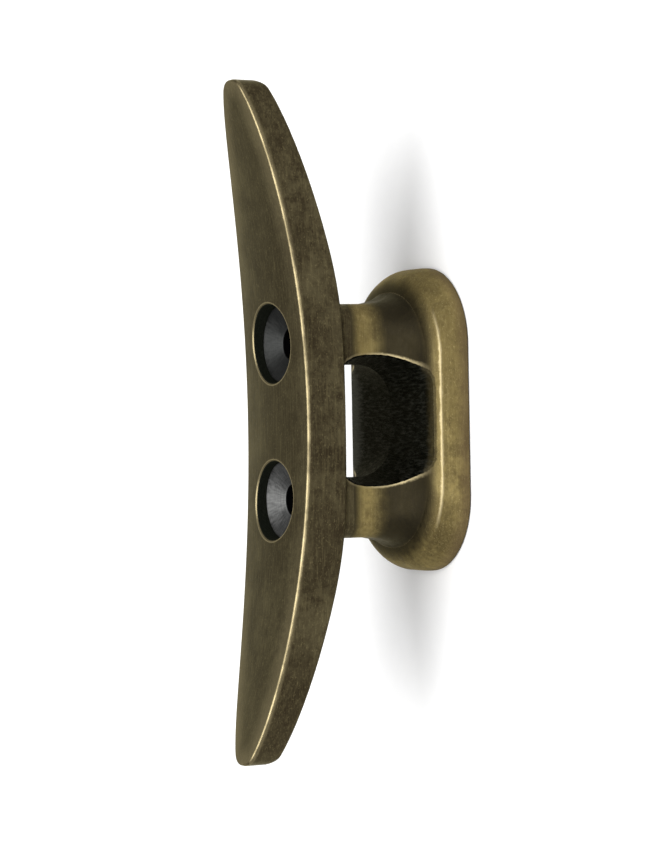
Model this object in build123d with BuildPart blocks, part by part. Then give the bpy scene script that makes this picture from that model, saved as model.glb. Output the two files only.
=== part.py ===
"""Horn cleat: a horn bar on a two-legged pedestal, clamped together by two hollow rivets.

X runs along the horns, Z points up from the mounting face, and the origin is the centre of
that face. The bar is a long ellipse in plan. Its top is hollow along its length and slightly
crowned across, and its underside sweeps up to the tips. Two stubs under it meet the legs of
the pedestal, which spread in a cove to a rounded rectangular foot. A line passes through the
eye between the legs. Each hollow rivet clamps stub, leg and foot, and its dished head is the
seat of a countersunk mounting screw. Lengths are in millimetres.
"""

import math
import os

from build123d import *

# Horn bar
LENGTH = 100.0
BAR_HALF_WIDTH = 9.7
PLAN_OVERRUN = 0.9  # how far the plan ellipse would reach past each tip
TIP_CORNER = 2.8  # plan radius between the ellipse and the blunt tip
TOP_HEIGHT = 25.55  # of the bar's crowned centre line at X = 0
TOP_HOLLOW_RADIUS = 200.0
CROWN = 0.64  # height of the centre line over the edges at full width
UNDERSIDE_HEIGHT = 18.5
UNDERSIDE_FLAT = 10.0  # half length of the flat middle of the underside
ROOT_SWEEP_RADIUS = 75.0
ROOT_SWEEP_END = 25.5
HORN_SWEEP_RADIUS = 186.0
TIP_SWEEP_START = 48.5  # where the underside starts to round up into the tip
TIP_SWEEP_RADIUS = 1.9
TIP_SWEEP_SLOPE = 62.0  # in degrees, where the rounding runs out
BAR_TOP_EDGE = 0.35
BAR_UNDER_EDGE = 0.6

# Pedestal, from the foot up to the neck
FOOT_LENGTH = 45.4
FOOT_WIDTH = 26.9
FOOT_CORNER = 11.5
FOOT_BOTTOM_EDGE = 0.3
END_ROUND_START = 0.8  # height at which the foot's ends begin to round over
END_ROUND_RISE = 5.3  # radii of the elliptical rounding of the ends
END_ROUND_REACH = 4.6
SIDE_WALL = 4.7  # height of the crisp edge along the sides
SIDE_DRAFT = 0.2  # how far the sides lean in by that edge
SHOULDER_RADIUS = 4.0  # convex rounding of the sides above the edge
SHOULDER_STEEP = 50.0  # slope where it leaves the edge, in degrees
SHOULDER_FLAT = 16.0  # slope where it meets the cove
NECK_LENGTH = 34.6
NECK_WIDTH = 10.0
NECK_HEIGHT = 12.5
COVE_START_ANGLE = 20.0  # parameter of the cove's ellipse where it leaves the shoulder
WALL_CORNER = 12.2  # plan corner radii at the crisp edge, the top of the shoulder and the neck
SHELF_CORNER = 10.9
NECK_CORNER = 2.6
NECK_FILLET = 3.2  # under the bar
SEAM_HEIGHT = 15.0  # where the stubs under the bar meet the legs

# Eye between the legs, narrowest at its middle and flaring to both mouths
EYE_MID_WIDTH = 16.7
EYE_MID_FLOOR = 5.8
EYE_MID_CORNER = 5.6
EYE_MOUTH_WIDTH = 23.2
EYE_MOUTH_FLOOR = 5.45
EYE_MOUTH_CORNER = 6.5
EYE_MOUTH_AT = 14.0  # distance of each mouth section from the middle

# Screw holes and the hollow rivets that line them
SCREW_SPACING = 23.0
SCREW_BORE = 4.6
RIVET_TUBE = 5.4
RIVET_HEAD = 11.5
RIVET_HEAD_BOTTOM = 21.9
RIVET_HEAD_RIM = 24.0
SEAT_RIM = 0.15  # flat width left around the dished seat
SEAT_ANGLE = 130.0  # included angle of the seat
RIVET_FOOT = 8.2
RIVET_FOOT_HEIGHT = 1.4
RIVET_RECESS = 0.1  # how far the rivet's 45 degree foot stops short of the mounting face
CLEARANCE = 0.05  # radial, between rivet and castings
MOUTH_EDGE = 0.22

half_length = LENGTH / 2
screw_places = [(-SCREW_SPACING / 2, 0), (SCREW_SPACING / 2, 0)]
tube_hole = RIVET_TUBE / 2 + CLEARANCE
head_hole = RIVET_HEAD / 2 + CLEARANCE
foot_hole = RIVET_FOOT / 2 + CLEARANCE


def bar_blank():
    """Horn bar without its stubs and screw holes."""
    reach = half_length + 1
    blank_top = TOP_HEIGHT + 0.3
    root_turn = math.asin((ROOT_SWEEP_END - UNDERSIDE_FLAT) / ROOT_SWEEP_RADIUS)
    horn_turn = math.asin(math.sin(root_turn) + (TIP_SWEEP_START - ROOT_SWEEP_END) / HORN_SWEEP_RADIUS)
    tip_turn = math.radians(TIP_SWEEP_SLOPE)
    top_turn = math.asin(reach / TOP_HOLLOW_RADIUS)
    with BuildPart() as blank:
        with BuildSketch(Plane.XZ):
            with BuildLine():
                flat = Line((0, UNDERSIDE_HEIGHT), (UNDERSIDE_FLAT, UNDERSIDE_HEIGHT))
                root = JernArc(flat @ 1, (1, 0), ROOT_SWEEP_RADIUS, math.degrees(root_turn))
                horn = JernArc(root @ 1, root % 1, HORN_SWEEP_RADIUS, math.degrees(horn_turn - root_turn))
                tip = JernArc(horn @ 1, horn % 1, TIP_SWEEP_RADIUS, math.degrees(tip_turn - horn_turn))
                tip_rise = Line(
                    tip @ 1, (reach, (tip @ 1).Y + (reach - (tip @ 1).X) * math.tan(tip_turn))
                )
                top = JernArc((0, blank_top), (1, 0), TOP_HOLLOW_RADIUS, math.degrees(top_turn))
                Line(tip_rise @ 1, top @ 1)
                Line((0, UNDERSIDE_HEIGHT), (0, blank_top))
            make_face()
            mirror(about=Plane.YZ)
        extrude(amount=BAR_HALF_WIDTH + 1, both=True)
        with BuildSketch(Plane.XY) as plan:
            Ellipse(half_length + PLAN_OVERRUN, BAR_HALF_WIDTH)
            Rectangle(LENGTH, 4 * BAR_HALF_WIDTH, mode=Mode.INTERSECT)
            fillet(plan.vertices().filter_by_position(Axis.X, 0.9 * half_length, LENGTH), TIP_CORNER)
            fillet(plan.vertices().filter_by_position(Axis.X, -LENGTH, -0.9 * half_length), TIP_CORNER)
        extrude(amount=2 * TOP_HEIGHT, mode=Mode.INTERSECT)
        # Sweeping a shallow arc round a far axle leaves the hollow, crowned top.
        cut_half = BAR_HALF_WIDTH + 2
        drop = CROWN * (cut_half / BAR_HALF_WIDTH) ** 2
        with BuildSketch(Plane.YZ):
            with BuildLine():
                rim = ThreePointArc(
                    (-cut_half, TOP_HEIGHT - drop), (0, TOP_HEIGHT), (cut_half, TOP_HEIGHT - drop)
                )
                Polyline(rim @ 1, (cut_half, TOP_HEIGHT + 9), (-cut_half, TOP_HEIGHT + 9), rim @ 0)
            make_face()
        revolve(axis=Axis((0, 0, TOP_HEIGHT + TOP_HOLLOW_RADIUS), (0, 1, 0)), mode=Mode.SUBTRACT)
        under = ShapeList(face for face in blank.faces() if face.normal_at().Z < -0.5)
        rim_edges = ShapeList(edge for edge in under.edges() if abs(edge.center().Y) > 1)
        fillet(rim_edges, BAR_UNDER_EDGE)
        fillet(blank.faces().sort_by(SortBy.AREA)[-1].edges(), BAR_TOP_EDGE)
    return blank


def loft_through(sections):
    """Loft through rounded rectangles given as (height, length, width, corner radius)."""
    with BuildPart() as lofted:
        for height, length, width, corner in sections:
            with BuildSketch(Plane.XY.offset(height)):
                RectangleRounded(length, width, corner)
        loft()
    return lofted.part


def end_length(height):
    """Length of the foot where its ends round over along an ellipse."""
    rise = (height - END_ROUND_START) / END_ROUND_RISE
    return FOOT_LENGTH - 2 * END_ROUND_REACH * (1 - math.sqrt(1 - rise**2))


def pedestal_blank():
    """Foot, cove and neck up to the seam, with no eye or holes."""
    edge_width = FOOT_WIDTH - 2 * SIDE_DRAFT
    steep = math.radians(SHOULDER_STEEP)
    flat = math.radians(SHOULDER_FLAT)
    start = math.radians(COVE_START_ANGLE)
    wall = []
    for part_way in (0, 0.25, 0.5, 0.75, 1):
        height = END_ROUND_START + (SIDE_WALL - END_ROUND_START) * part_way
        width = FOOT_WIDTH - 2 * SIDE_DRAFT * part_way
        corner = FOOT_CORNER + (WALL_CORNER - FOOT_CORNER) * part_way
        wall.append((height, end_length(height), width, corner))
    shoulder = []
    for part_way in (0, 1 / 3, 2 / 3, 1):
        slope = steep + (flat - steep) * part_way
        height = SIDE_WALL + SHOULDER_RADIUS * (math.cos(slope) - math.cos(steep))
        width = edge_width - 2 * SHOULDER_RADIUS * (math.sin(steep) - math.sin(slope))
        corner = WALL_CORNER + (SHELF_CORNER - WALL_CORNER) * part_way
        shoulder.append((height, end_length(height), width, corner))
    shelf_height, shelf_length, shelf_width, _ = shoulder[-1]
    cove = []
    for step in range(7):
        angle = start + (math.pi / 2 - start) * step / 6
        out = (1 - math.sin(angle)) / (1 - math.sin(start))
        up = 1 - math.cos(angle) / math.cos(start)
        height = shelf_height + (NECK_HEIGHT - shelf_height) * up
        length = NECK_LENGTH + (shelf_length - NECK_LENGTH) * out
        width = NECK_WIDTH + (shelf_width - NECK_WIDTH) * out
        cove.append((height, length, width, NECK_CORNER + (SHELF_CORNER - NECK_CORNER) * out))
    with BuildPart() as blank:
        with BuildSketch(Plane.XY):
            RectangleRounded(FOOT_LENGTH, FOOT_WIDTH, FOOT_CORNER)
        extrude(amount=END_ROUND_START)
        add(loft_through(wall))
        add(loft_through(shoulder))
        add(loft_through(cove))
        with BuildSketch(Plane.XY.offset(NECK_HEIGHT)):
            RectangleRounded(NECK_LENGTH, NECK_WIDTH, NECK_CORNER)
        extrude(amount=SEAM_HEIGHT - NECK_HEIGHT)
        fillet(blank.faces().sort_by(Axis.Z)[0].edges(), FOOT_BOTTOM_EDGE)
    return blank


def eye_cutter():
    """The space inside the eye: two flared halves meeting at the middle."""
    with BuildPart() as eye:
        for side in (-1, 1):
            with BuildSketch(Plane.XZ):
                with Locations((0, (EYE_MID_FLOOR + UNDERSIDE_HEIGHT) / 2)):
                    RectangleRounded(EYE_MID_WIDTH, UNDERSIDE_HEIGHT - EYE_MID_FLOOR, EYE_MID_CORNER)
            with BuildSketch(Plane.XZ.offset(side * EYE_MOUTH_AT)):
                with Locations((0, (EYE_MOUTH_FLOOR + UNDERSIDE_HEIGHT) / 2)):
                    RectangleRounded(
                        EYE_MOUTH_WIDTH, UNDERSIDE_HEIGHT - EYE_MOUTH_FLOOR, EYE_MOUTH_CORNER
                    )
            loft(ruled=True)
    return eye


bar = bar_blank()
foot = pedestal_blank()
eye = eye_cutter()

# Bar with the two stubs that stand on the legs.
with BuildPart() as horn_bar:
    add(bar.part)
    with BuildSketch(Plane.XY.offset(SEAM_HEIGHT)):
        RectangleRounded(NECK_LENGTH, NECK_WIDTH, NECK_CORNER)
    extrude(until=Until.NEXT)
    root = horn_bar.edges().filter_by_position(Axis.Z, UNDERSIDE_HEIGHT - 0.1, UNDERSIDE_HEIGHT + 0.5)
    root = root.filter_by_position(Axis.Y, -NECK_WIDTH / 2 - 0.01, NECK_WIDTH / 2 + 0.01)
    root = root.filter_by_position(Axis.X, -NECK_LENGTH / 2 - 0.01, NECK_LENGTH / 2 + 0.01)
    fillet(root, NECK_FILLET)
    add(eye.part, mode=Mode.SUBTRACT)
    for floor_height, radius in ((SEAM_HEIGHT, tube_hole), (RIVET_HEAD_BOTTOM, head_hole)):
        with BuildSketch(Plane.XY.offset(floor_height)):
            with Locations(*screw_places):
                Circle(radius)
        extrude(amount=LENGTH, mode=Mode.SUBTRACT)
    mouths = horn_bar.faces().sort_by(SortBy.AREA)[-1].inner_wires().edges()
    chamfer(mouths, MOUTH_EDGE)
horn_bar.part.label = "horn_bar"

# Pedestal: foot and both legs in one casting, countersunk underneath for the rivets.
with BuildPart() as pedestal:
    add(foot.part)
    add(eye.part, mode=Mode.SUBTRACT)
    with BuildSketch(Plane.XY):
        with Locations(*screw_places):
            Circle(tube_hole)
    extrude(amount=SEAM_HEIGHT, mode=Mode.SUBTRACT)
    with Locations(*screw_places):
        Cone(
            foot_hole,
            tube_hole,
            RIVET_FOOT_HEIGHT,
            align=(Align.CENTER, Align.CENTER, Align.MIN),
            mode=Mode.SUBTRACT,
        )
pedestal.part.label = "pedestal"

# Hollow rivets: dished head above, tube through stub and leg, upset foot below.
seat_drop = (RIVET_HEAD / 2 - SEAT_RIM - SCREW_BORE / 2) / math.tan(math.radians(SEAT_ANGLE / 2))
with BuildPart() as rivets:
    with BuildSketch(Plane.XZ):
        with BuildLine():
            Polyline(
                (SCREW_BORE / 2, RIVET_RECESS),
                (RIVET_FOOT / 2 - RIVET_RECESS, RIVET_RECESS),
                (RIVET_TUBE / 2, RIVET_FOOT_HEIGHT),
                (RIVET_TUBE / 2, RIVET_HEAD_BOTTOM),
                (RIVET_HEAD / 2, RIVET_HEAD_BOTTOM),
                (RIVET_HEAD / 2, RIVET_HEAD_RIM),
                (RIVET_HEAD / 2 - SEAT_RIM, RIVET_HEAD_RIM),
                (SCREW_BORE / 2, RIVET_HEAD_RIM - seat_drop),
                close=True,
            )
        make_face()
    revolve(axis=Axis.Z)
single = rivets.part
with BuildPart() as rivets:
    with Locations(*screw_places):
        add(single)
rivets.part.label = "rivets"

os.makedirs("parts", exist_ok=True)
export_step(horn_bar.part, "parts/horn_bar.step")
export_step(pedestal.part, "parts/pedestal.step")
export_step(rivets.part, "parts/rivets.step")
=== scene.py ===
"""Looks for the horn cleat: aged brass castings, dark rivets, a white floor and soft light.

The CAD nodes keep their shapes and carry procedural materials. Material patterns work in
millimetres of the row frame: X along the horns, Z up from the mounting face.
"""

import math

import bpy
from mathutils import Matrix, Vector

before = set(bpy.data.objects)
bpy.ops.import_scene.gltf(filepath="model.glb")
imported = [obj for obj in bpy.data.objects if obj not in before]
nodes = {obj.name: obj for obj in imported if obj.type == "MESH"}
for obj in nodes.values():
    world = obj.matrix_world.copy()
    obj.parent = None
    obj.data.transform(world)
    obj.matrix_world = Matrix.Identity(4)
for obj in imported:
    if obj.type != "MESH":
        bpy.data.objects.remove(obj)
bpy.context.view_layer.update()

MM = 0.001

# Measures of the castings that the masks follow, in millimetres
EYE_MID_HALF = 8.35  # the eye's half width, floor height and corner radius at its middle
EYE_MID_FLOOR = 5.8
EYE_MID_CORNER = 5.6
EYE_MOUTH_HALF = 11.6  # the same three at its mouths
EYE_MOUTH_FLOOR = 5.45
EYE_MOUTH_CORNER = 6.5
EYE_MOUTH_AT = 14.0  # distance of the mouths' measures from the middle
EYE_TOP = 18.5
SEAM_AT = 15.0  # height where the bar's stubs meet the legs
HOLE_AT = 11.5
HOLE_RADIUS = 5.8  # of the head recesses
HOLE_FLOOR = 21.9
BORE_RADIUS = 2.3
PLAN_HALF_LENGTH = 50.9  # half length of the ellipse that the bar's sides follow
BAR_HALF_LENGTH = 50.0
BAR_HALF_WIDTH = 9.7
TOP_HEIGHT = 25.55  # of the hollow top at its middle
TOP_HOLLOW_RADIUS = 200.0
CROWN = 0.64  # how much lower the top is at its sides
FOOT_EDGE_AT = 4.7  # height of the crisp edge along the foot's sides

# Where patina, painted shade, worn brass, painted highlights and lining start and end, as pairs of
# millimetres that a span fades across
FOOT_STRIP = (0.6, 2.6)
COVE_BOTTOM = (4.5, 6.3)
COVE_TOP = (9.2, 12.8)
ROOT = (13.2, 15.2)
TIPS_ALONG = (24.0, 50.0)
TOP_BAND = (0.25, 0.9)  # depth below the top
CORNER_LINE = (0.18, 0.46)
PAINTED_SHEEN_INWARDS = (0.2, 4.0)
PAINTED_SHEEN_ALONG = (14.0, 40.0)
FOOT_LINE = (0.04, 0.30)
FOOT_LINE_ACROSS = (10.5, 12.8)
RECESS_RIM = (0.10, 0.25)
LIP_LINE = (0.25, 0.62)
LIP_BOTTOM = (5.6, 6.6)
LIP_TOP = (10.5, 13.5)
SEAM_CLEAR = (0.4, 0.9)  # no worn edge or painted highlight nearer than this to the seam
LINING_EDGE = (0.0, 0.08)
LINING_FADES = (9.8, 12.2)  # painted light: the lining thins towards the near mouth
LINING_FULL_ABOVE = (7.0, 8.0)
# where painted light greys the lining at the far mouth
FAR_MOUTH_LIGHT_AT = (10.0, 13.5)
SEATS_ALONG = (-5.0, 5.0)  # painted shade, from the lighter seat to the darker one

# Reach, shift and depth of the surface effects, in millimetres
EDGE_REACH = 0.55  # how near an edge has to be for the surface to get worn brass and painted highlight
SHADE_REACH = 5.0  # how near other surfaces have to be for painted shade in a recess
LEVEL_DRIFT = 1.6  # how far the heights of the painted shade and of the foot's brown strip wander
LINE_WANDER = 0.5  # how far the lines of wear and painted highlight wander
LINING_INSET = -0.15
RIM_OUTSIDE = 0.15  # middle of the ring of wear and painted highlight, outside the head recess
RECESS_LAP = 0.06  # how far the recess's mask reaches outside its wall
BRASS_GRAIN = 0.035
STEEL_GRAIN = 0.02
LINING_FUR = 8.0  # height of the lining's fur as a multiple of the brass's grain

# Colours and finishes shared by both castings
WORN_AND_HIGHLIGHT_BRASS = (0.47, 0.39, 0.22)
FOOT_BROWN = (0.135, 0.092, 0.052)
COVE_PAINTED_SHADE = (0.022, 0.019, 0.013)
AO_PAINTED_SHADE = (0.02, 0.016, 0.01)
LINING_DARK = (0.001, 0.0015, 0.001)
LINING_LIGHT = (0.040, 0.041, 0.033)
FAR_MOUTH_PAINTED_LIGHT = (0.075, 0.075, 0.062)
LINING_IN_RECESS = (0.022, 0.025, 0.018)
GRAZING_TINT = (0.90, 0.86, 0.70)
WEAR_AND_HIGHLIGHT = 0.9  # how much of the worn brass and painted highlight shows
SATIN_SPREAD = 0.07  # how much the roughness varies either way
RUBBED_SMOOTHER = 0.12
LINING_ROUGHNESS = 0.75

STEEL_DARK = (0.045, 0.046, 0.045)
STEEL_LIGHT = (0.135, 0.135, 0.132)
SEAT_PAINTED_SHADE = (0.012, 0.013, 0.012)
BORE_BLACK = (0.004, 0.004, 0.004)
PAPER_DARK = (0.925, 0.925, 0.925)
PAPER_LIGHT = (0.935, 0.935, 0.935)

EDGE_SAMPLES = 6
SHADE_SAMPLES = 8


# ---------------------------------------------------------------- node graph helper


class Graph:
    """A material's node tree with short ways to add nodes and arithmetic."""

    def __init__(self, name):
        self.material = bpy.data.materials.new(name)
        self.material.use_nodes = True
        self.tree = self.material.node_tree
        self.tree.nodes.clear()
        self.output = self.tree.nodes.new("ShaderNodeOutputMaterial")
        position = self.tree.nodes.new("ShaderNodeTexCoord").outputs["Object"]
        scale = self.tree.nodes.new("ShaderNodeVectorMath")
        scale.operation = "SCALE"
        self.tree.links.new(position, scale.inputs[0])
        scale.inputs["Scale"].default_value = 1 / MM
        self.place = scale.outputs[0]  # position in millimetres
        split = self.tree.nodes.new("ShaderNodeSeparateXYZ")
        self.tree.links.new(self.place, split.inputs[0])
        self.x, self.y, self.z = split.outputs
        self.abs_x = self.math("ABSOLUTE", self.x)
        self.abs_y = self.math("ABSOLUTE", self.y)

    def put(self, value, socket):
        """Links an output to a socket, or sets the socket to a plain value."""
        if isinstance(value, bpy.types.NodeSocket):
            self.tree.links.new(value, socket)
        else:
            socket.default_value = value

    def math(self, operation, a, b=None, c=None, clamp=False):
        """One arithmetic node on one, two or three numbers."""
        node = self.tree.nodes.new("ShaderNodeMath")
        node.operation = operation
        node.use_clamp = clamp
        for value, socket in zip((a, b, c), node.inputs):
            if value is not None:
                self.put(value, socket)
        return node.outputs[0]

    def plus(self, a, b):
        return self.math("ADD", a, b)

    def minus(self, a, b):
        return self.math("SUBTRACT", a, b)

    def times(self, a, b):
        return self.math("MULTIPLY", a, b)

    def square(self, a):
        return self.math("MULTIPLY", a, a)

    def away(self, a, b):
        """Distance between two numbers."""
        return self.math("ABSOLUTE", self.math("SUBTRACT", a, b))

    def largest(self, first, *others):
        """The largest of any number of values."""
        for other in others:
            first = self.math("MAXIMUM", first, other)
        return first

    def vector(self, x, y, z):
        node = self.tree.nodes.new("ShaderNodeCombineXYZ")
        for value, socket in zip((x, y, z), node.inputs):
            self.put(value, socket)
        return node.outputs[0]

    def stretched(self, x, y, z):
        """Position in millimetres times a factor along each axis."""
        node = self.tree.nodes.new("ShaderNodeVectorMath")
        node.operation = "MULTIPLY"
        self.tree.links.new(self.place, node.inputs[0])
        node.inputs[1].default_value = (x, y, z)
        return node.outputs[0]

    def noise(self, vector, scale, detail=4.0, roughness=0.6, distortion=0.0):
        node = self.tree.nodes.new("ShaderNodeTexNoise")
        self.tree.links.new(vector, node.inputs["Vector"])
        node.inputs["Scale"].default_value = scale
        node.inputs["Detail"].default_value = detail
        node.inputs["Roughness"].default_value = roughness
        node.inputs["Distortion"].default_value = distortion
        return node.outputs["Fac"]

    def span(self, value, low, high, to_low=0.0, to_high=1.0):
        """Maps low..high to to_low..to_high with smooth ends, clamped."""
        node = self.tree.nodes.new("ShaderNodeMapRange")
        node.interpolation_type = "SMOOTHSTEP"
        for number, socket in zip((value, low, high, to_low, to_high), node.inputs):
            self.put(number, socket)
        return node.outputs["Result"]

    def blend(self, factor, a, b):
        """Colour a where factor is 0, colour b where it is 1."""
        node = self.tree.nodes.new("ShaderNodeMix")
        node.data_type = "RGBA"
        self.put(factor, node.inputs[0])
        self.put(a if isinstance(a, bpy.types.NodeSocket) else (*a, 1), node.inputs[6])
        self.put(b if isinstance(b, bpy.types.NodeSocket) else (*b, 1), node.inputs[7])
        return node.outputs[2]

    def level(self, factor, a, b):
        """Number a where factor is 0, number b where it is 1."""
        node = self.tree.nodes.new("ShaderNodeMix")
        self.put(factor, node.inputs[0])
        self.put(a, node.inputs[2])
        self.put(b, node.inputs[3])
        return node.outputs[0]

    def bump(self, height, distance_mm):
        """Normal of a surface raised by this distance where height is 1."""
        node = self.tree.nodes.new("ShaderNodeBump")
        node.inputs["Strength"].default_value = 1.0
        node.inputs["Distance"].default_value = distance_mm * MM
        self.tree.links.new(height, node.inputs["Height"])
        return node.outputs[0]

    def edge(self, radius_mm):
        """How far the surface turns within this radius: 0 on flats, towards 1 on crisp edges."""
        bevel = self.tree.nodes.new("ShaderNodeBevel")
        bevel.samples = EDGE_SAMPLES
        bevel.inputs["Radius"].default_value = radius_mm * MM
        geometry = self.tree.nodes.new("ShaderNodeNewGeometry")
        dot = self.tree.nodes.new("ShaderNodeVectorMath")
        dot.operation = "DOT_PRODUCT"
        self.tree.links.new(bevel.outputs[0], dot.inputs[0])
        self.tree.links.new(geometry.outputs["Normal"], dot.inputs[1])
        return self.math("SUBTRACT", 1.0, dot.outputs["Value"], clamp=True)

    def open_air(self, distance_mm):
        """Ambient occlusion: 1 in the open, towards 0 in recesses."""
        node = self.tree.nodes.new("ShaderNodeAmbientOcclusion")
        node.samples = SHADE_SAMPLES
        node.inputs["Distance"].default_value = distance_mm * MM
        return node.outputs["AO"]

    def shader(self, colour, roughness, metallic, normal=None, tint=(1, 1, 1)):
        """Finishes the material with these values and returns it."""
        node = self.tree.nodes.new("ShaderNodeBsdfPrincipled")
        self.put(colour, node.inputs["Base Color"])
        self.put(roughness, node.inputs["Roughness"])
        self.put(metallic, node.inputs["Metallic"])
        if normal is not None:
            self.put(normal, node.inputs["Normal"])
        node.inputs["Specular Tint"].default_value = (*tint, 1)
        self.tree.links.new(node.outputs[0], self.output.inputs[0])
        return self.material


# ---------------------------------------------------------------- masks from the shape


def eye_distance(g):
    """Distance outside the eye's flared, round-cornered tunnel, in mm; 0 or less on its walls."""
    part_way = g.math("DIVIDE", g.abs_y, EYE_MOUTH_AT)
    half = g.math("MULTIPLY_ADD", part_way, EYE_MOUTH_HALF - EYE_MID_HALF, EYE_MID_HALF)
    floor_at = g.math("MULTIPLY_ADD", part_way, EYE_MOUTH_FLOOR - EYE_MID_FLOOR, EYE_MID_FLOOR)
    corner = g.math("MULTIPLY_ADD", part_way, EYE_MOUTH_CORNER - EYE_MID_CORNER, EYE_MID_CORNER)
    middle = g.times(g.plus(floor_at, EYE_TOP), 0.5)
    half_height = g.minus(EYE_TOP, middle)
    across = g.plus(g.minus(g.abs_x, half), corner)
    above = g.plus(g.minus(g.away(g.z, middle), half_height), corner)
    squares = g.plus(g.square(g.largest(across, 0.0)), g.square(g.largest(above, 0.0)))
    inside = g.math("MINIMUM", g.largest(across, above), 0.0)
    return g.minus(g.plus(g.math("SQRT", squares), inside), corner)


def hole_distance(g):
    """Distance from the nearer screw hole's axis, in mm."""
    return g.math("SQRT", g.plus(g.square(g.minus(g.abs_x, HOLE_AT)), g.square(g.y)))


def bar_distances(g):
    """Distance from the corner between the bar's top and sides, and depth below the top, in mm."""
    inside = g.largest(g.minus(1.0, g.square(g.math("DIVIDE", g.x, PLAN_HALF_LENGTH))), 0.0)
    from_side = g.minus(g.times(g.math("SQRT", inside), BAR_HALF_WIDTH), g.abs_y)
    from_tip = g.minus(BAR_HALF_LENGTH, g.abs_x)
    drop = g.times(g.square(g.math("DIVIDE", g.y, BAR_HALF_WIDTH)), CROWN)
    swept = g.plus(drop, TOP_HOLLOW_RADIUS)
    hollow = g.math("SQRT", g.minus(g.square(swept), g.square(g.x)))
    below_top = g.minus(g.minus(TOP_HEIGHT + TOP_HOLLOW_RADIUS, hollow), g.z)
    return g.largest(g.math("MINIMUM", from_side, from_tip), below_top), below_top


# ---------------------------------------------------------------- materials


def brass_tone(g, cloud, smoke, fine, brushed, on_top, patina, brown, brass):
    """Patina in clouds and smoke, with brass showing at the tips, in brushing and in specks."""
    speck = g.noise(g.stretched(0.6, 1.0, 1.0), 5.0, detail=3, roughness=0.65)
    tone = g.plus(g.times(cloud, 0.5), g.times(fine, 0.5))
    colour = g.blend(g.span(tone, 0.38, 0.62), patina, brown)
    colour = g.blend(g.span(smoke, 0.42, 0.62, 0.0, 0.6), colour, patina)
    tips = g.times(g.span(g.abs_x, *TIPS_ALONG), g.span(smoke, 0.3, 0.6, 0.24, 0.08))
    colour = g.blend(g.times(tips, on_top), colour, brass)
    colour = g.blend(g.times(g.span(brushed, 0.45, 0.78), 0.24), colour, brass)
    return g.blend(g.times(g.span(speck, 0.55, 0.74), 0.42), colour, brass)


def darkened(g, colour, cloud, strength):
    """Colour with painted shade in the cove and at the root under the bar, and the bottom of the
    foot brown.
    """
    level_at = g.plus(g.z, g.times(g.minus(cloud, 0.5), LEVEL_DRIFT))
    # painted shade in the cove and at the root under the bar
    cove = g.times(g.span(level_at, *COVE_TOP, 1.0, 0.0), g.span(g.z, *COVE_BOTTOM))
    root = g.span(level_at, *ROOT)
    strip = g.span(level_at, *FOOT_STRIP, 0.55, 0.0)
    colour = g.blend(g.times(strip, strength), colour, FOOT_BROWN)
    return g.blend(g.times(g.largest(cove, root), strength), colour, COVE_PAINTED_SHADE)


def wear_and_highlight_places(g, cloud, fine, wander, from_corner, on_top, from_eye):
    """Where brass is bright, partly worn and partly painted highlight: crisp edges, bar corners,
    foot edge, recess rims and eye lips, and painted sheen on the top.
    """
    # worn brass and painted highlight along crisp edges
    edges = g.times(g.span(g.edge(EDGE_REACH), 0.015, 0.20), g.span(fine, 0.25, 0.55, 0.55, 1.0))
    edges = g.times(edges, g.span(g.away(g.z, SEAM_AT), *SEAM_CLEAR))
    # worn brass and painted highlight along the bar's corners
    bar_line = g.span(g.plus(from_corner, wander), *CORNER_LINE, 1.0, 0.0)
    bar_line = g.times(bar_line, g.span(cloud, 0.35, 0.6, 0.3, 0.7))
    # painted sheen on the top near its corners, stronger towards the tips
    painted_sheen = g.times(g.span(from_corner, *PAINTED_SHEEN_INWARDS, 0.20, 0.0), on_top)
    painted_sheen = g.times(painted_sheen, g.span(g.abs_x, *PAINTED_SHEEN_ALONG, 0.25, 1.0))
    # worn brass and painted highlight along the foot's crisp edge
    foot_line = g.span(g.plus(g.away(g.z, FOOT_EDGE_AT), wander), *FOOT_LINE, 0.9, 0.0)
    foot_line = g.times(foot_line, g.span(g.abs_y, *FOOT_LINE_ACROSS))
    # worn brass and painted highlight round the head recesses
    from_rim = g.away(hole_distance(g), HOLE_RADIUS + RIM_OUTSIDE)
    above_floor = g.math("GREATER_THAN", g.z, HOLE_FLOOR + 1.0)
    rim = g.times(g.span(from_rim, *RECESS_RIM, 0.42, 0.0), above_floor)
    # worn brass and painted highlight on the eye's lips
    lip_height = g.times(g.span(g.z, *LIP_BOTTOM), g.span(g.z, *LIP_TOP, 0.9, 0.2))
    lip = g.times(g.span(g.plus(from_eye, wander), *LIP_LINE, 1.0, 0.0), lip_height)
    return g.largest(edges, bar_line, painted_sheen, foot_line, rim, lip)


def black_lining(g, wander, from_eye, fur):
    """Mask and colour of the black, ragged lining of the eye and of the head recesses, with
    painted light at the eye's mouths.
    """
    ragged = g.math("MULTIPLY_ADD", wander, 0.5, LINING_INSET)
    eye = g.span(g.plus(from_eye, ragged), *LINING_EDGE, 1.0, 0.0)
    from_mouth = g.minus(g.times(wander, 3.0), g.y)
    # painted light: the lining thins towards the near mouth
    fades = g.span(from_mouth, *LINING_FADES, 1.0, 0.35)
    eye = g.times(eye, g.largest(fades, g.span(g.z, *LINING_FULL_ABOVE)))
    in_recess = g.math("LESS_THAN", hole_distance(g), HOLE_RADIUS + RECESS_LAP)
    recess = g.times(in_recess, g.math("GREATER_THAN", g.z, HOLE_FLOOR - 0.2))
    colour = g.blend(g.span(fur, 0.44, 0.68), LINING_DARK, LINING_LIGHT)
    # painted light greying the lining at the far mouth
    far_mouth_light = g.times(g.span(g.plus(g.y, g.times(fur, 4.0)), *FAR_MOUTH_LIGHT_AT), 0.8)
    colour = g.blend(far_mouth_light, colour, FAR_MOUTH_PAINTED_LIGHT)
    return g.largest(eye, recess), g.blend(recess, colour, LINING_IN_RECESS)


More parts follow.
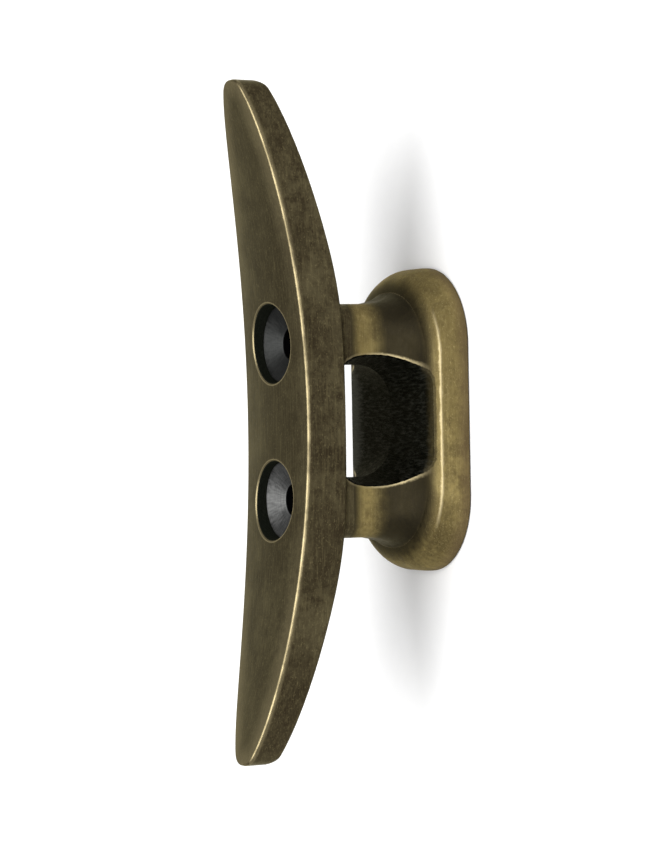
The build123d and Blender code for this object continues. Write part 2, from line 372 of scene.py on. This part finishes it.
def aged_brass(name, patina, brown, brass, dark_at_root, satin):
    """Brushed brass under a dark patina, bright with wear and painted highlights at edges, with
    painted sheen and shade, black in the eye.
    """
    g = Graph(name)
    cloud = g.noise(g.place, 0.16, detail=5, roughness=0.62)
    smoke = g.noise(g.stretched(0.5, 1.0, 1.0), 0.085, detail=4, roughness=0.6, distortion=0.4)
    fine = g.noise(g.place, 1.1, detail=6, roughness=0.7)
    brushed = g.noise(g.stretched(0.05, 1.0, 1.0), 3.2, detail=5, roughness=0.65)
    fur = g.noise(g.stretched(1.0, 0.2, 0.6), 3.0, detail=5, roughness=0.75)
    wander = g.times(g.minus(fine, 0.5), LINE_WANDER)
    from_corner, below_top = bar_distances(g)
    on_top = g.span(below_top, *TOP_BAND, 1.0, 0.0)
    from_eye = eye_distance(g)

    colour = brass_tone(g, cloud, smoke, fine, brushed, on_top, patina, brown, brass)
    # painted shade in the cove and at the root under the bar, and the foot's brown strip
    colour = darkened(g, colour, cloud, dark_at_root)
    wear_and_highlight_mask = wear_and_highlight_places(g, cloud, fine, wander, from_corner, on_top, from_eye)
    # worn brass and painted highlights
    colour = g.blend(g.times(wear_and_highlight_mask, WEAR_AND_HIGHLIGHT), colour, WORN_AND_HIGHLIGHT_BRASS)
    # painted shade in recesses, from ambient occlusion
    shade = g.span(g.open_air(SHADE_REACH), 0.15, 0.75, 0.75, 0.0)
    colour = g.blend(shade, colour, AO_PAINTED_SHADE)
    black, black_colour = black_lining(g, wander, from_eye, fur)
    colour = g.blend(black, colour, black_colour)

    roughness = g.span(fine, 0.3, 0.7, satin - SATIN_SPREAD, satin + SATIN_SPREAD)
    roughness = g.level(wear_and_highlight_mask, roughness, satin - RUBBED_SMOOTHER)
    roughness = g.level(black, roughness, LINING_ROUGHNESS)
    grain = g.plus(g.times(brushed, 0.6), g.times(fine, 0.4))
    normal = g.bump(g.level(black, grain, g.times(fur, LINING_FUR)), BRASS_GRAIN)
    return g.shader(colour, roughness, 1.0, normal, tint=GRAZING_TINT)


def dark_steel(name):
    """Dark grey steel with the rings of a lathe tool on the seats, painted shade on the seat at
    +X, and black bores.
    """
    g = Graph(name)
    radius = hole_distance(g)
    turn = g.math("ARCTAN2", g.y, g.minus(g.abs_x, HOLE_AT))
    rings = g.noise(g.vector(radius, 0.0, 0.0), 9.0, detail=4, roughness=0.7)
    streaks = g.noise(g.vector(g.times(turn, 6.0), g.times(radius, 0.4), 0.0), 2.0, detail=4)
    tone = g.plus(g.times(rings, 0.6), g.times(streaks, 0.4))
    colour = g.blend(g.span(tone, 0.35, 0.65), STEEL_DARK, STEEL_LIGHT)
    # painted shade darkening the seat at +X
    colour = g.blend(g.span(g.x, *SEATS_ALONG, 0.0, 0.80), colour, SEAT_PAINTED_SHADE)
    bore = g.math("LESS_THAN", radius, BORE_RADIUS + 0.05)
    colour = g.blend(bore, colour, BORE_BLACK)
    roughness = g.level(bore, g.span(streaks, 0.3, 0.7, 0.30, 0.42), 0.6)
    return g.shader(colour, roughness, 0.9, g.bump(g.plus(rings, streaks), STEEL_GRAIN))


def white_floor(name):
    """Matt white paper with a faint grain."""
    g = Graph(name)
    grain = g.noise(g.place, 0.4, detail=3)
    colour = g.blend(g.span(grain, 0.3, 0.7), PAPER_DARK, PAPER_LIGHT)
    return g.shader(colour, 0.9, 0.0)


def paint(node, material):
    """Gives a CAD node its one material."""
    obj = nodes[node]
    obj.data.materials.clear()
    obj.data.materials.append(material)


bar_brass = aged_brass(
    "aged_brass_bar",
    patina=(0.026, 0.0195, 0.0105),
    brown=(0.069, 0.057, 0.030),
    brass=(0.20, 0.168, 0.083),
    dark_at_root=0.0,
    satin=0.43,
)
pedestal_brass = aged_brass(
    "aged_brass_pedestal",
    patina=(0.135, 0.102, 0.041),
    brown=(0.315, 0.248, 0.098),
    brass=(0.53, 0.43, 0.19),
    dark_at_root=0.93,
    satin=0.60,
)
paint("horn_bar", bar_brass)
paint("pedestal", pedestal_brass)
paint("rivets", dark_steel("dark_steel"))


# ---------------------------------------------------------------- floor, light and camera

FLOOR_HALF = 3.0
FLOOR_AT = -0.02 * MM  # just clear of the mounting face
floor_mesh = bpy.data.meshes.new("floor")
floor_mesh.from_pydata(
    [(x * FLOOR_HALF, y * FLOOR_HALF, FLOOR_AT) for x, y in ((-1, -1), (1, -1), (1, 1), (-1, 1))],
    [],
    [(0, 1, 2, 3)],
)
floor = bpy.data.objects.new("floor", floor_mesh)
floor.data.materials.append(white_floor("white_floor"))
bpy.context.scene.collection.objects.link(floor)

CAMERA_TARGET = Vector((-1.87, 0.0, 16.97)) * MM
CAMERA_DISTANCE = 420 * MM
CAMERA_ELEVATION = math.radians(28.42)
CAMERA_SWING = math.radians(0.20)  # towards +X
CAMERA_ROLL = math.radians(1.05)
CAMERA_LENS = 117.6
CAMERA_NEAR = 0.01
CAMERA_FAR = 20.0
LIGHT_TARGET = Vector((0.0, 0.0, 15.0)) * MM
WORLD_LIGHT = 0.40


def aim(location, target, top):
    """Rotation of something at location that looks at target with this direction upwards."""
    back = (location - target).normalized()
    right = top.cross(back).normalized()
    return Matrix((right, back.cross(right), back)).transposed().to_4x4()


camera = bpy.data.objects.new("camera", bpy.data.cameras.new("camera"))
bpy.context.scene.collection.objects.link(camera)
bpy.context.scene.camera = camera
towards_camera = Vector(
    (
        math.sin(CAMERA_SWING),
        -math.cos(CAMERA_SWING) * math.cos(CAMERA_ELEVATION),
        math.cos(CAMERA_SWING) * math.sin(CAMERA_ELEVATION),
    )
)
camera.data.lens = CAMERA_LENS
camera.data.clip_start = CAMERA_NEAR
camera.data.clip_end = CAMERA_FAR
camera_place = CAMERA_TARGET + towards_camera * CAMERA_DISTANCE
camera_turn = aim(camera_place, CAMERA_TARGET, Vector((1, 0, 0)))
camera_turn = camera_turn @ Matrix.Rotation(-CAMERA_ROLL, 4, "Z")
camera.matrix_world = Matrix.Translation(camera_place) @ camera_turn


def area_light(name, place, size, power):
    """White rectangular softbox at a place in metres, turned to the middle of the cleat."""
    light = bpy.data.lights.new(name, "AREA")
    light.shape = "RECTANGLE"
    light.size, light.size_y = size
    light.energy = power
    obj = bpy.data.objects.new(name, light)
    place = Vector(place)
    turned = aim(place, LIGHT_TARGET, Vector((1, 0, 0)))
    obj.matrix_world = Matrix.Translation(place) @ turned
    bpy.context.scene.collection.objects.link(obj)


# One softbox nearly straight above, and a long, lower one on either side of the cleat
area_light("overhead", (0.0, -0.19, 0.78), (0.8, 0.80), 8.8)
area_light("behind", (0.0, 0.80, 0.46), (1.6, 0.5), 1.4)
area_light("front", (0.0, -0.90, 0.28), (1.4, 0.4), 3.2)

world = bpy.data.worlds.new("studio")
world.use_nodes = True
world.node_tree.nodes["Background"].inputs["Color"].default_value = (1, 1, 1, 1)
world.node_tree.nodes["Background"].inputs["Strength"].default_value = WORLD_LIGHT
bpy.context.scene.world = world
bpy.context.scene.view_settings.view_transform = "Standard"
